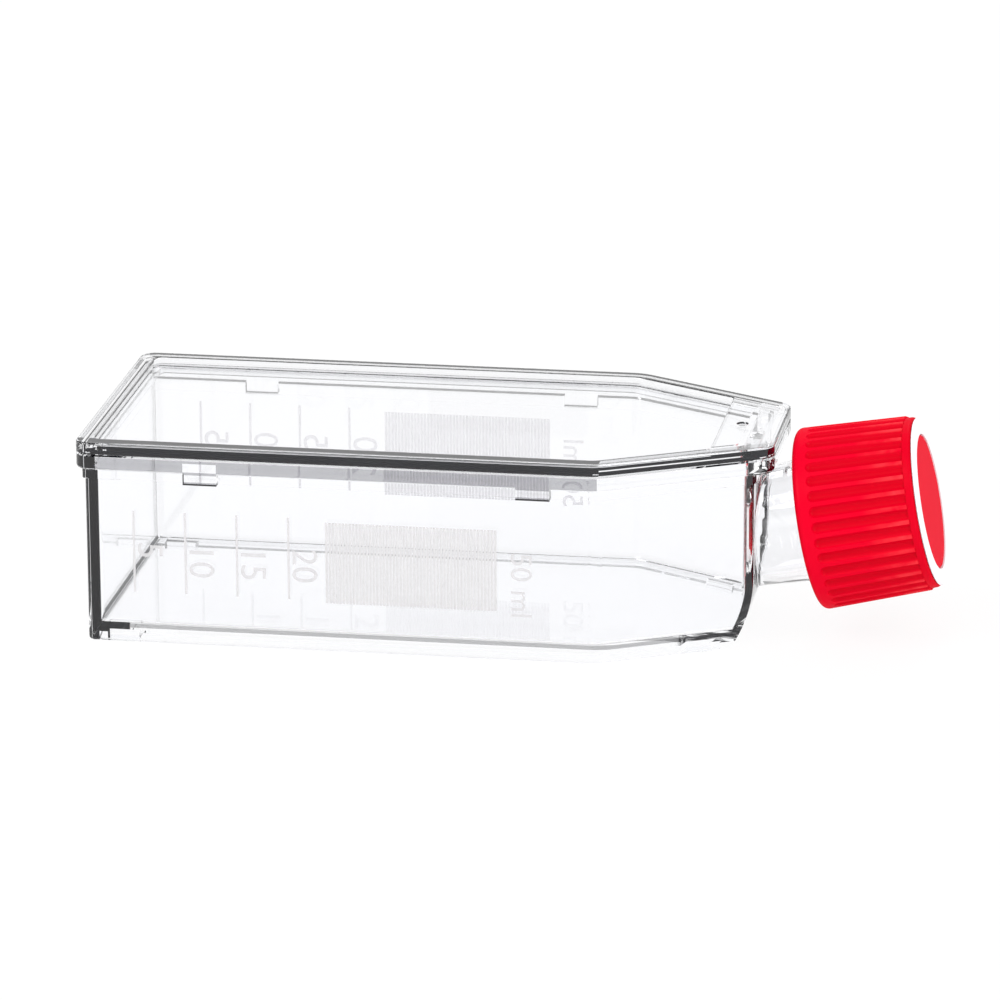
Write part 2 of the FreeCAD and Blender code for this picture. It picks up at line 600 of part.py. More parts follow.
def make_cap_shell():
    """The ribbed red cap with its inner thread, about its own axis from its open end."""
    body = new_body("cap_shell")
    outside = add_sketch(
        body, "ribbed_half", "XZ_Plane",
        [
            ("0", "0"),
            (CAP_RADIUS, "0", "sizes.cap_round"),
            (f"({CAP_RADIUS} - sizes.cap_taper)", RIB_LENGTH, "sizes.ring_round"),
            ("0", RIB_LENGTH),
        ],
    )
    turn(body, "ribbed_wall", outside)

    # a round-nosed groove: its axis runs just outside the crests and leans with them
    radius, reach = "sizes.rib_groove_radius", "(sizes.rib_groove_radius - sizes.rib_groove_depth)"
    lean, rise = f"sin({CAP_DRAFT})", f"cos({CAP_DRAFT})"

    def groove_axis(along):
        out = f"({CAP_RADIUS} - {along} * tan({CAP_DRAFT}) + {reach} * {rise})"
        return out, f"({along} + {reach} * {lean})"

    start_x, start_y = groove_axis("sizes.rib_start")
    end_x, end_y = groove_axis(BEYOND_CAP)
    tip = (f"({start_x} - {radius} * {rise})", f"({start_y} - {radius} * {lean})")
    tip_radius = f"({radius} - sizes.rib_tip_flat)"
    tail = (f"({end_x} - {radius} * {rise})", f"({end_y} - {radius} * {lean})")
    section = [(start_x, start_y), (*tip, tip_radius), tail, (end_x, end_y)]
    groove_half = add_sketch(body, "groove_half", "XZ_Plane", section)
    add_axis(groove_half, len(section) - 1)
    groove = turn(body, "rib_groove", groove_half, axis="Axis0", cut=True)
    grooves = body.newObject("PartDesign::PolarPattern", "rib_grooves")
    grooves.Originals = [groove]
    grooves.Axis = (groove_half, ["V_Axis"])
    grooves.Angle = 360
    bind(grooves, Occurrences="sizes.rib_count")
    body.Tip = grooves
    doc.recompute()

    band = add_sketch(
        body, "band_half", "XZ_Plane",
        [
            ("0", RIB_LENGTH),
            (BAND_RADIUS, RIB_LENGTH),
            (BAND_RADIUS, CAP_LENGTH, "sizes.edge_round"),
            ("0", CAP_LENGTH),
        ],
    )
    turn(body, "end_band", band)

    seal_outer = f"({SEAL_MIDDLE} + sizes.seal_width / 2)"
    seal_face = f"({MOUTH} + sizes.seal_gap)"
    inside = add_sketch(
        body, "inner_half", "XZ_Plane",
        [
            ("0", "(-sizes.end_wall)"),
            (CAP_BORE, "(-sizes.end_wall)"),
            (CAP_BORE, END_WALL_FACE, "sizes.cap_round"),
            (seal_outer, END_WALL_FACE),
            (seal_outer, seal_face),
            (SEAL_INNER, seal_face),
            (SEAL_INNER, END_WALL_FACE),
            (VENT_RADIUS, END_WALL_FACE),
            (VENT_RADIUS, BEYOND_CAP),
            ("0", BEYOND_CAP),
        ],
    )
    turn(body, "inside", inside, cut=True)
    seat = add_sketch(
        body, "seat_half", "XZ_Plane",
        [
            ("0", SEAT_FLOOR),
            (SEAT_RADIUS, SEAT_FLOOR),
            (SEAT_RADIUS, BEYOND_CAP),
            ("0", BEYOND_CAP),
        ],
    )
    turn(body, "ring_seat", seat, cut=True)
    crest = f"({CAP_BORE} - sizes.thread_depth)"
    add_thread(body, "cap_thread", CAP_BORE, crest, "sizes.cap_thread_start")
    on_neck_axis(body, "sizes.cap_standoff")
    return body


def make_round_piece(name, corners):
    """A piece of the cap's insert: half its section turned about the cap's axis."""
    body = new_body(name)
    turn(body, f"{name}_turned", add_sketch(body, f"{name}_half", "XZ_Plane", corners))
    on_neck_axis(body, "sizes.cap_standoff")
    return body


def make_vent_ring():
    """The white ring that carries the disc over the gas opening."""
    shoulder = f"({CAP_LENGTH} + sizes.turning_gap)"
    return make_round_piece(
        "vent_ring",
        [
            (VENT_RADIUS, RING_FOOT),
            (RING_SEAT_RADIUS, RING_FOOT),
            (RING_SEAT_RADIUS, shoulder),
            (RING_RADIUS, shoulder),
            (f"({RING_RADIUS} - sizes.ring_taper)", RING_FRONT, "sizes.ring_round"),
            (RING_WELL_RADIUS, RING_FRONT),
            (RING_WELL_RADIUS, DISC_FOOT),
            (VENT_RADIUS, DISC_FOOT),
        ],
    )


def make_cap_disc():
    """The red disc in the middle of the cap's end."""
    return make_round_piece(
        "cap_disc",
        [
            ("0", DISC_FOOT),
            (DISC_RADIUS, DISC_FOOT),
            (DISC_RADIUS, DISC_FRONT, "sizes.disc_round"),
            ("0", DISC_FRONT),
        ],
    )


def make_filter_membrane():
    """The thin filter under the gas opening."""
    top = f"({END_WALL_FACE} - sizes.turning_gap)"
    foot = f"({top} - sizes.membrane_thickness)"
    return make_round_piece(
        "filter_membrane",
        [("0", foot), (MEMBRANE_RADIUS, foot), (MEMBRANE_RADIUS, top), ("0", top)],
    )


def check(pieces):
    """Stops on a failed object or a piece without a sound solid."""
    failed = [o.Name for o in doc.Objects if {"Invalid", "Error"} & set(o.State)]
    if failed:
        raise RuntimeError(f"failed objects: {failed}")
    for piece in pieces:
        shape = piece.Shape
        if shape.isNull() or not shape.isValid() or not shape.Solids:
            raise RuntimeError(f"{piece.Label} has no sound solid")


pieces = [
    make_flask_body(),
    make_top_plate(),
    make_cap_shell(),
    make_vent_ring(),
    make_cap_disc(),
    make_filter_membrane(),
]
doc.recompute()
check(pieces)
os.makedirs("parts", exist_ok=True)
for piece in pieces:
    piece.Shape.exportStep(f"parts/{piece.Label}.step")
    print(piece.Label, len(piece.Shape.Solids), round(piece.Shape.Volume, 2), piece.Shape.BoundBox)
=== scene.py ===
import json
import math
from functools import reduce

import bmesh
import bpy
from bpy.props import FloatProperty, FloatVectorProperty, IntProperty, PointerProperty
from mathutils import Matrix, Vector


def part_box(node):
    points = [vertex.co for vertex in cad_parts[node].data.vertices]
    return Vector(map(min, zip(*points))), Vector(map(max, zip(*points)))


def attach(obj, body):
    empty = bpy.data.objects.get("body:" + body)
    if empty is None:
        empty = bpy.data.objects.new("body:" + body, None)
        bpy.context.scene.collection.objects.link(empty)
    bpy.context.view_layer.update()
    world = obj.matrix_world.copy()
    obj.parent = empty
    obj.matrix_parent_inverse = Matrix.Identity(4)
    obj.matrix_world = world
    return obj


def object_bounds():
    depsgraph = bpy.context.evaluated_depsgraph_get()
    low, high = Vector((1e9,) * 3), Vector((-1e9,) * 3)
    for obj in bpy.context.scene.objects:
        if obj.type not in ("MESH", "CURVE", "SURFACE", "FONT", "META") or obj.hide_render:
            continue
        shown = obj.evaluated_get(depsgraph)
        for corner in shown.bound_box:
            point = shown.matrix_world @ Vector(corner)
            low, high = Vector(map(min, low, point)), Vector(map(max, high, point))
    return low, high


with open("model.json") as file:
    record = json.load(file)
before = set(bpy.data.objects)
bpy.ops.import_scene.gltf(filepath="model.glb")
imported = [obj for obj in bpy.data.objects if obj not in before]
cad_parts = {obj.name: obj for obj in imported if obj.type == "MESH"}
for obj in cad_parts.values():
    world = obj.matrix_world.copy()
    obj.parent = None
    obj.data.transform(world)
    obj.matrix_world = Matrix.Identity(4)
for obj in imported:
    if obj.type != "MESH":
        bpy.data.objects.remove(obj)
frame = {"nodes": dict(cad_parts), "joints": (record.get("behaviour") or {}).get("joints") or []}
CAD_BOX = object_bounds()

bl_info = {
    "name": "Cell culture flask",
    "version": (1, 0, 0),
    "blender": (4, 5, 0),
    "location": "View3D > Sidebar > Flask",
    "description": "Finishes a clear culture flask with a red vent cap and prints its scale on the walls",
    "category": "Object",
}

MM = 0.001
LOW, HIGH = CAD_BOX
WHITE = (1.0, 1.0, 1.0)

# Places along the flask, from the plate's two ends
HEEL_EDGE, NOSE_EDGE = (corner.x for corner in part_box("top_plate"))
HEEL_RIM = HEEL_EDGE + 3.0 * MM  # where the heel's rim ends
BEND = HEEL_EDGE + 65.0 * MM  # where the sides start to turn in
NOSE_FLOOR = BEND + 10.0 * MM  # where the floor's lost light deepens towards the nose
NOSE_WALL = (NOSE_EDGE - 5.0 * MM, NOSE_EDGE - 2.2 * MM)  # it lies between these, foot and all
NOSE_OUTSIDE = NOSE_EDGE - 3.1 * MM  # past this lies its outer face, over the foot
NOSE_FLANGE = NOSE_EDGE - 4.0 * MM  # where the flange's far edge turns clear
NECK_ROOT = NOSE_EDGE - 2.0 * MM  # past this lies the neck
TAB_LENGTH = 4.2 * MM
TABS = (HEEL_EDGE + 13.7 * MM, BEND - 10.0 * MM)  # where the near tabs start

# Heights over the standing plane
FLOOR_FOOT = 1.05 * MM
FLOOR_LINE = 1.55 * MM  # under this the floor's edge loses light
NECK_FOOT = 7.5 * MM  # under this a level face at the neck's root loses light
NOSE_FOOT = 9.0 * MM  # under this the nose wall leans in
TAB_FOOT = 21.15 * MM
TAB_EDGE = 21.55 * MM  # where the painted shade on a tab's lower edge ends
FLANGE_FOOT = 22.5 * MM
CLEAR_POCKET = (22.8 * MM, 23.9 * MM)  # the stretch over the first tab that stays clear
LIP_FOOT = 23.6 * MM  # of the plate's locating lip
SEAM = 24.3 * MM
PLATE_FOOT = 24.6 * MM
NEAR = 0.05 * MM  # how near a level counts as at it

# Distances from the middle plane, measured as on the straight sides
TAPER = 0.535  # how far the sides turn in for each unit of length past the bend
TAPER_COSINE = 0.882  # of the angle between the tapered and the straight sides
GUIDE_FROM = 15.5 * MM  # past this the near rim's foot lets light straight through
LIP_FACE = (16.37 * MM, 16.77 * MM)  # the locating lip's inner face lies between these
RIM_MARGIN = 1.0 * MM  # how much further in the plate's edge loses light than its foot does

# Distances from the flange's edge
FLANGE_SKIN = 0.1 * MM
TAB_DEPTH = 1.1 * MM
WELD = (0.7 * MM, 1.4 * MM)  # the plate's bead and the flange are one between these

# Shares of light
ALL_TURNED = 0.98  # a face that mirrors more than this turns all light back
SOME_TURNED = 0.15  # a face under the rim that mirrors more than this loses its light
STRAIGHT_THROUGH = 0.06  # a face that mirrors less than this is met nearly straight on
GRAZING = 0.72  # facing value over which light runs along a face
NOSE_DEEPER = 0.9  # how much more light the floor loses at the nose
TAPER_CLEAR = 0.7  # how much of the rim's lost light gets out again on the tapered sides
FAR_RIM = 0.2  # how much light the far rim loses for the near rim's 1
LAMP_THROUGH = (0.93, 0.93, 0.94)  # what the plastic lets through to the floor

CAP_LEAN = 0.037  # how much the ribs' radius shrinks for each unit along the cap's axis
CAP_PLAIN = 1.0 * MM  # this far inside the grooves the cap has its plain red
INK_GAP = 0.004 * MM  # keeps a print's back off the wall that carries it
LETTER_HALF = 0.5  # half the depth at which lettering is made, before it is scaled
BLOCK_LINE = 0.82  # of the pitch that a line of the writing block fills

FLOOR_REACH = 6.0  # metres from the middle to the floor's edge
FLOOR_GAP = 0.02 * MM  # keeps the floor off the standing rim
CEILING = (0.36, 0.50)  # heights of direction between which the room turns dark
CEILING_LEVEL = 0.02
SENSOR_WIDTH = 36.0  # millimetres
CLIP = (0.01, 50.0)  # metres
# Name, place and size in metres, watts at full level
LAMPS = (
    ("lamp_left", (-0.45, -0.40, 0.60), 0.50, 9.0),
    ("lamp_right", (0.55, -0.35, 0.50), 0.45, 6.0),
    ("lamp_back", (0.05, 0.60, 0.55), 0.50, 4.0),
)
NODES = frame["nodes"]


# --------------------------------------------------------------------------------------------------
# Sizes and colours that a user would change


class FlaskFinish(bpy.types.PropertyGroup):
    """Colours and gloss of the plastics."""

    clear_tint: FloatVectorProperty(
        name="Clear tint",
        description="Colour of the clear polystyrene",
        subtype="COLOR",
        default=(0.985, 0.988, 1.0),
    )
    clear_index: FloatProperty(
        name="Refractive index",
        description="How strongly the clear polystyrene bends light",
        default=1.59,
        min=1.0,
        max=2.0,
    )
    edge_dark: FloatVectorProperty(
        name="Edge dark",
        description="Colour of the light that is caught inside the clear plastic's edges",
        subtype="COLOR",
        default=(0.004, 0.004, 0.008),
    )
    flange_painted_shade: FloatVectorProperty(
        name="Flange tint",
        # Flange painted shade
        description="Colour of the upright faces of the flange's straight part, set by eye",
        # Painted shade on the upright faces of the flange's straight part, standing for light lost inside
        # the clear plastic
        # Painted shade on the upright faces of the flange's straight part, standing for light lost inside
        # the clear plastic
        subtype="COLOR",
        default=(0.28, 0.28, 0.30),
    )
    rim_shade_from: FloatProperty(
        name="Rim shade from",
        description="Distance from the middle plane at which the plate's foot starts to lose light",
        unit="LENGTH",
        default=16.9 * MM,
    )
    rim_shade_to: FloatProperty(
        name="Rim shade to", description="Distance at which it stops", unit="LENGTH", default=18.6 * MM
    )
    floor_shade_from: FloatProperty(
        name="Floor shade from",
        description="Distance from the middle plane at which the floor's foot starts to lose light",
        unit="LENGTH",
        default=11.9 * MM,
    )
    floor_shade_to: FloatProperty(
        name="Floor shade to", description="Distance at which it stops", unit="LENGTH", default=14.6 * MM
    )
    floor_loss: FloatProperty(
        name="Floor loss",
        description="Share of the light that the floor's edge loses",
        subtype="FACTOR",
        default=0.5,
    )
    nose_loss: FloatProperty(
        name="Nose loss",
        description="Share of the light that the nose wall loses",
        subtype="FACTOR",
        default=0.8,
    )
    neck_loss: FloatProperty(
        name="Neck loss",
        description="Share of the light that the neck's underside loses",
        subtype="FACTOR",
        default=0.7,
    )
    cap_red: FloatVectorProperty(
        name="Cap red",
        description="Colour of the cap and its disc",
        subtype="COLOR",
        default=(0.78, 0.0, 0.020),
    )
    cap_deep_and_shaded_red: FloatVectorProperty(
        name="Cap deep red",
        description="Colour of the red plastic where its pigment is densest",
        # Colour of the painted shade in the cap's grooves, also of its darker random patches
        subtype="COLOR",
        default=(0.64, 0.0, 0.012),
    )
    groove_radius: FloatProperty(
        name="Groove radius",
        # Distance from the cap's axis, at its open end, at which its painted groove shade is deepest
        description="Distance from the cap's axis, at its open end, at which its red is deepest",
        unit="LENGTH",
        default=10.95 * MM,
    )
    crest_radius: FloatProperty(
        name="Crest radius",
        # Distance from the cap's axis, at its open end, at which its painted groove shade ends
        description="Distance from the cap's axis, at its open end, at which its red is palest",
        unit="LENGTH",
        default=11.36 * MM,
    )
    cap_gloss: FloatProperty(
        name="Cap gloss",
        description="Share of the surroundings that the red plastic mirrors",
        subtype="FACTOR",
        default=0.10,
        min=0.0,
        max=1.0,
    )
    crest_highlight_red: FloatVectorProperty(
        # Crest highlight red
        name="Worn red",
        # Colour of the painted highlight on the ribs' crests near the cap's closed end
        description="Colour of the ribs' crests near the cap's closed end",
        subtype="COLOR",
        default=(0.90, 0.06, 0.07),
    )
    highlight_start: FloatProperty(
        # Highlight start
        name="Worn start",
        # Distance along the cap's axis, from its open end, at which the painted crest highlight starts
        description="Distance along the cap's axis, from its open end, at which the crests start to pale",
        unit="LENGTH",
        default=8.0 * MM,
    )
    highlight_end: FloatProperty(
        # Highlight end
        name="Worn end",
        # Distance at which the painted highlight is strongest
        description="Distance at which they are palest",
        unit="LENGTH",
        default=12.5 * MM,
    )
    ring_white: FloatVectorProperty(
        name="Ring white",
        description="Colour of the vent ring",
        subtype="COLOR",
        default=(0.92, 0.91, 0.95),
    )
    membrane_white: FloatVectorProperty(
        name="Membrane white",
        description="Colour of the filter membrane",
        subtype="COLOR",
        default=(0.84, 0.84, 0.81),
    )
    ink: FloatVectorProperty(
        name="Ink",
        description="Colour of the printed scale",
        subtype="COLOR",
        default=(0.66, 0.65, 0.66),
    )
    ink_cover: FloatProperty(
        name="Ink cover",
        description="How much of the wall behind it the ink hides",
        subtype="FACTOR",
        default=0.66,
        min=0.0,
        max=1.0,
    )
    near_ink_light: FloatProperty(
        name="Near ink light",
        description="Glow of the near wall's ink, which stands for light from behind it",
        subtype="FACTOR",
        default=0.12,
        min=0.0,
        max=1.0,
    )
    far_ink_light: FloatProperty(
        name="Far ink light",
        description="Glow of the far wall's ink, which stands for light from behind it",
        subtype="FACTOR",
        default=0.30,
        min=0.0,
        max=1.0,
    )


class FlaskScale(bpy.types.PropertyGroup):
    """Places and sizes of the print on the long walls, from the heel edge and the standing plane."""

    first_mark: FloatProperty(
        name="First mark",
        description="From the heel edge to the first mark",
        unit="LENGTH",
        default=7.1 * MM,
    )
    mark_spacing: FloatProperty(
        name="Mark spacing", description="From one mark to the next", unit="LENGTH", default=6.47 * MM
    )
    mark_count: IntProperty(name="Marks", description="Number of marks", default=4, min=1)
    mark_step: IntProperty(name="Mark step", description="Millilitres between two marks", default=5, min=1)
    mark_width: FloatProperty(
        name="Mark width", description="Thickness of a mark's line", unit="LENGTH", default=0.30 * MM
    )
    mark_low: FloatProperty(name="Mark low end", description="Height", unit="LENGTH", default=6.6 * MM)
    mark_high: FloatProperty(name="Mark high end", description="Height", unit="LENGTH", default=17.1 * MM)
    figure_size: FloatProperty(
        name="Figure size",
        description="Height of a figure beside a mark",
        unit="LENGTH",
        default=3.1 * MM,
    )
    figure_gap: FloatProperty(
        name="Figure gap", description="Between a mark and its figure", unit="LENGTH", default=0.5 * MM
    )
    figure_top: FloatProperty(
        name="Figure start",
        description="Height at which a figure starts",
        unit="LENGTH",
        default=13.2 * MM,
    )
    block_start: FloatProperty(
        name="Block start", description="From the heel edge", unit="LENGTH", default=31.1 * MM
    )
    block_end: FloatProperty(
        name="Block end", description="From the heel edge", unit="LENGTH", default=52.5 * MM
    )
    block_low: FloatProperty(name="Block low edge", description="Height", unit="LENGTH", default=6.3 * MM)
    block_high: FloatProperty(
        name="Block high edge", description="Height", unit="LENGTH", default=16.7 * MM
    )
    block_pitch: FloatProperty(
        name="Block line pitch",
        description="Between two of the fine lines that fill the writing block",
        unit="LENGTH",
        default=0.42 * MM,
    )
    legend_start: FloatProperty(
        name="Legend start", description="From the heel edge", unit="LENGTH", default=54.2 * MM
    )
    legend_size: FloatProperty(
        name="Legend size",
        description="Height of the full volume's figures",
        unit="LENGTH",
        default=2.6 * MM,
    )
    legend_top: FloatProperty(
        name="Legend top", description="Height at which it starts", unit="LENGTH", default=14.0 * MM
    )
    full_volume: IntProperty(name="Full volume", description="Millilitres", default=50, min=1)
    far_shift: FloatProperty(
        name="Far print shift",
        description="Toward the neck, on the far wall",
        unit="LENGTH",
        default=0.7 * MM,
    )
    far_rise: FloatProperty(
        name="Far print rise",
        description="How much higher the far wall's print is",
        unit="LENGTH",
        default=2.7 * MM,
    )
    ink_depth: FloatProperty(
        name="Ink depth",
        description="How far the ink stands off the wall",
        unit="LENGTH",
        default=0.03 * MM,
    )


class FlaskStudio(bpy.types.PropertyGroup):
    """The floor, the light and the camera."""

    floor_colour: FloatVectorProperty(
        name="Floor", description="Colour of the floor", subtype="COLOR", default=(0.96, 0.96, 0.96)
    )
    floor_shade: FloatProperty(
        name="Floor shade",
        description="How much of the object's shadow the floor keeps",
        subtype="FACTOR",
        default=0.10,
        min=0.0,
        max=1.0,
    )
    room_level: FloatProperty(
        name="Room light", description="Strength of the light from all round", default=0.8, min=0.0
    )
    lamp_level: FloatProperty(
        name="Lamp light",
        description="Strength of the lamps as a share of full level",
        default=0.3,
        min=0.0,
    )
    azimuth: FloatProperty(
        name="Azimuth", subtype="ANGLE", description="Of the camera", default=math.radians(9.56)
    )
    elevation: FloatProperty(
        name="Elevation", subtype="ANGLE", description="Of the camera", default=math.radians(17.52)
    )
    roll: FloatProperty(
        name="Roll", subtype="ANGLE", description="Of the camera", default=math.radians(-0.30)
    )
    distance: FloatProperty(
        name="Distance", description="From the camera to its target", unit="LENGTH", default=825.45 * MM
    )
    target: FloatVectorProperty(
        name="Target",
        description="Point the camera looks at",
        subtype="XYZ",
        default=(7.14 * MM, 0.0, 14.65 * MM),
    )
    lens: FloatProperty(name="Lens", description="Focal length in millimetres", default=238.03, min=1.0)


# --------------------------------------------------------------------------------------------------
# Shader maths


class Link:
    """One output in a shader tree. A sum written on it adds the Math nodes that work it out."""

    def __init__(self, shader, socket):
        self.shader = shader
        self.socket = socket

    def out(self, name):
        """Another output of the same node."""
        return Link(self.shader, self.socket.node.outputs[name])

    def math(self, operation, *values):
        return self.shader.node("ShaderNodeMath", {"operation": operation}, dict(enumerate(values)))

    def least(self, *others):
        """The smallest of this and the others."""
        return reduce(lambda first, second: self.math("MINIMUM", first, second), others, self)

    def most(self, *others):
        """The largest of this and the others."""
        return reduce(lambda first, second: self.math("MAXIMUM", first, second), others, self)

    def between(self, low, high):
        return (self > low) * (self < high)

    def __abs__(self):
        return self.math("ABSOLUTE", self)

    def __add__(self, other):
        return self.math("ADD", self, other)

    def __sub__(self, other):
        return self.math("SUBTRACT", self, other)

    def __rsub__(self, other):
        return self.math("SUBTRACT", other, self)

    def __mul__(self, other):
        return self.math("MULTIPLY", self, other)

    def __gt__(self, other):
        return self.math("GREATER_THAN", self, other)

    def __lt__(self, other):
        return self.math("LESS_THAN", self, other)

    __radd__ = __add__
    __rmul__ = __mul__


class Shader:
    """A node tree that is filled one node at a time."""

    def __init__(self, tree):
        self.tree = tree
        tree.nodes.clear()

    def node(self, kind, settings=None, sockets=None, output=0):
        """Adds a node: its settings are made first, then each socket gets its value or link."""
        made = self.tree.nodes.new(kind)
        for name, value in (settings or {}).items():
            setattr(made, name, value)
        for name, value in (sockets or {}).items():
            if isinstance(value, Link):
                self.tree.links.new(value.socket, made.inputs[name])
            else:
                made.inputs[name].default_value = value
        return Link(self, made.outputs[output]) if made.outputs else None

    def surface(self, made, kind="ShaderNodeOutputMaterial"):
        """Makes this the surface that the tree gives."""
        self.node(kind, None, {"Surface": made})

    def principled(self, sockets):
        return self.node("ShaderNodeBsdfPrincipled", None, sockets)

    def mix(self, factor, first, second):
        """One colour turning into another."""
        return self.node("ShaderNodeMix", {"data_type": "RGBA"}, {0: factor, 6: first, 7: second}, 2)

    def blend(self, factor, first, second):
        """One surface turning into another."""
        return self.node("ShaderNodeMixShader", None, {0: factor, 1: first, 2: second})

    def noise(self, place, size, detail=2.0, roughness=0.5):
        """A soft random value from 0 to 1, whose patches are about this size."""
        return self.node(
            "ShaderNodeTexNoise",
            None,
            {"Vector": place, "Scale": 1 / size, "Detail": detail, "Roughness": roughness},
        )

    def place(self):
        """Where a point lies on its own piece, so that a finish moves with it."""
        return self.node("ShaderNodeTexCoord", output="Object")

    def vector(self, operation, *values, output=0):
        return self.node("ShaderNodeVectorMath", {"operation": operation}, dict(enumerate(values)), output)

    def off_axis(self, place, start, along):
        """How far a place is from a line through start."""
        across = self.vector("CROSS_PRODUCT", self.vector("SUBTRACT", place, start), along)
        return self.vector("LENGTH", across, output=1)

    def ramp(self, value, low, high):
        """0 below low, 1 above high."""
        return self.node("ShaderNodeMapRange", None, {"Value": value, "From Min": low, "From Max": high})

    def bump(self, height, depth, strength):
        sockets = {"Height": height, "Distance": depth, "Strength": strength}
        return self.node("ShaderNodeBump", None, sockets)


def material(name):
    """A new empty material and its shader."""
    made = bpy.data.materials.new(name)
    made.use_nodes = True
    return made, Shader(made.node_tree)


def rgba(colour, share=1.0):
    return (colour[0] * share, colour[1] * share, colour[2] * share, 1.0)


def paint(piece, finish):
    """Gives every slot of a piece the same material."""
    if not piece.material_slots:
        piece.data.materials.append(finish)
    for slot in piece.material_slots:
        slot.material = finish


def cap_axis():
    """A point on the cap's axis and its direction, which is the joint's."""
    turn = next(joint for joint in frame["joints"] if joint["name"] == "cap_turn")
    return Vector(turn["pos_m"]), Vector(turn["axis"]).normalized()


# --------------------------------------------------------------------------------------------------
# Finishes


class Spot:
    """Where a point of the clear mouldings lies and how its face is turned, as lengths and as 1 or 0."""

    def __init__(self, s, place, geometry):
        normal = s.node("ShaderNodeSeparateXYZ", None, {0: geometry.out("True Normal")}, "Z")
        self.level = abs(normal) > 0.5
        self.endwise = abs(normal.out("X")) > 0.5
        self.sideways = (1.0 - self.level) * (1.0 - self.endwise)
        self.z = s.node("ShaderNodeSeparateXYZ", None, {0: place}, "Z")
        self.x, y = self.z.out("X"), self.z.out("Y")
        self.near_side = y < 0.0
        across, past_bend = abs(y), self.x - BEND
        self.side = across + past_bend.most(0.0) * TAPER
        off_straight = HIGH.y - across
        off_taper = (off_straight - past_bend * TAPER) * TAPER_COSINE
        self.inset = off_straight.least(off_taper, self.x - HEEL_EDGE, NOSE_EDGE - self.x)

    def at_height(self, height):
        return self.z.between(height - NEAR, height + NEAR)


def light_caught(look, spot, turned, grazing):
    """How much of the light inside the plastic is lost at a face, and so reads dark.

    These are masks by place and not optics. They are fitted to a single view from the near side, so the
    far side is treated differently.
    """
    x, z, side, inset = spot.x, spot.z, spot.side, spot.inset
    in_plate, in_tub = z > SEAM - NEAR, z < FLANGE_FOOT - NEAR
    heel_wall = spot.endwise * (x < 0.0) * in_tub
    nose_wall = x.between(*NOSE_WALL) * (x > NOSE_OUTSIDE).most(z < NOSE_FOOT)
    nose_wall = spot.endwise * nose_wall * in_tub * look.nose_loss
    past_heel_rim = (side > look.rim_shade_from - RIM_MARGIN).most(x > HEEL_RIM)
    plate_edge = in_plate * past_heel_rim * (spot.level * grazing + spot.sideways)
    far_flange = spot.sideways * (1.0 - in_tub) * (1.0 - spot.near_side)
    far_flange = far_flange * (inset < FLANGE_SKIN) * (x < NOSE_FLANGE)
    floor_shade = side.between(look.floor_shade_from, look.floor_shade_to)
    floor_loss = (1.0 + (x > NOSE_FLOOR) * NOSE_DEEPER) * look.floor_loss
    floor_line = spot.level * (z < FLOOR_LINE) * floor_shade * floor_loss
    tab_foot = spot.level * spot.at_height(TAB_FOOT) * (inset < TAB_DEPTH)
    neck_foot = spot.level * (z < NECK_FOOT) * (x > NECK_ROOT) * look.neck_loss
    turned_back = heel_wall + nose_wall + plate_edge + far_flange + floor_line + tab_foot + neck_foot
    turned_back = (turned_back * (turned > ALL_TURNED)).least(1.0)

    rim_shade = side.between(look.rim_shade_from, look.rim_shade_to)
    rim_shade = rim_shade * (FAR_RIM + spot.near_side * (1.0 - FAR_RIM))
    under_rim = spot.level * spot.at_height(PLATE_FOOT) * rim_shade
    under_rim = under_rim * turned.between(SOME_TURNED, ALL_TURNED) * (1.0 - (x > BEND) * TAPER_CLEAR)
    in_lip = z.between(LIP_FOOT, PLATE_FOOT + NEAR) * side.between(*LIP_FACE)
    in_bead = z.between(SEAM - NEAR, PLATE_FOOT + NEAR) * inset.between(WELD[1] - NEAR, WELD[1] + NEAR)
    let_out = spot.sideways * (turned < STRAIGHT_THROUGH) * in_lip.most(in_bead)
    return turned_back.most(under_rim, let_out)


def flange_shade(look, spot, inside):
    """Where painted shade greys the outside of the flange and of the near tabs' lower edges."""
    first_tab, second_tab = (spot.x.between(start, start + TAB_LENGTH) for start in TABS)
    clear_pocket = first_tab * spot.z.between(*CLEAR_POCKET)
    flange = spot.z.between(FLANGE_FOOT - NEAR, SEAM - NEAR) * (spot.x < BEND) * (1.0 - clear_pocket)
    tab_edge = first_tab.most(second_tab) * spot.z.between(TAB_FOOT - NEAR, TAB_EDGE)
    upright = (1.0 - inside) * (1.0 - spot.level) * (spot.side > look.rim_shade_to)
    return (flange + tab_edge) * upright


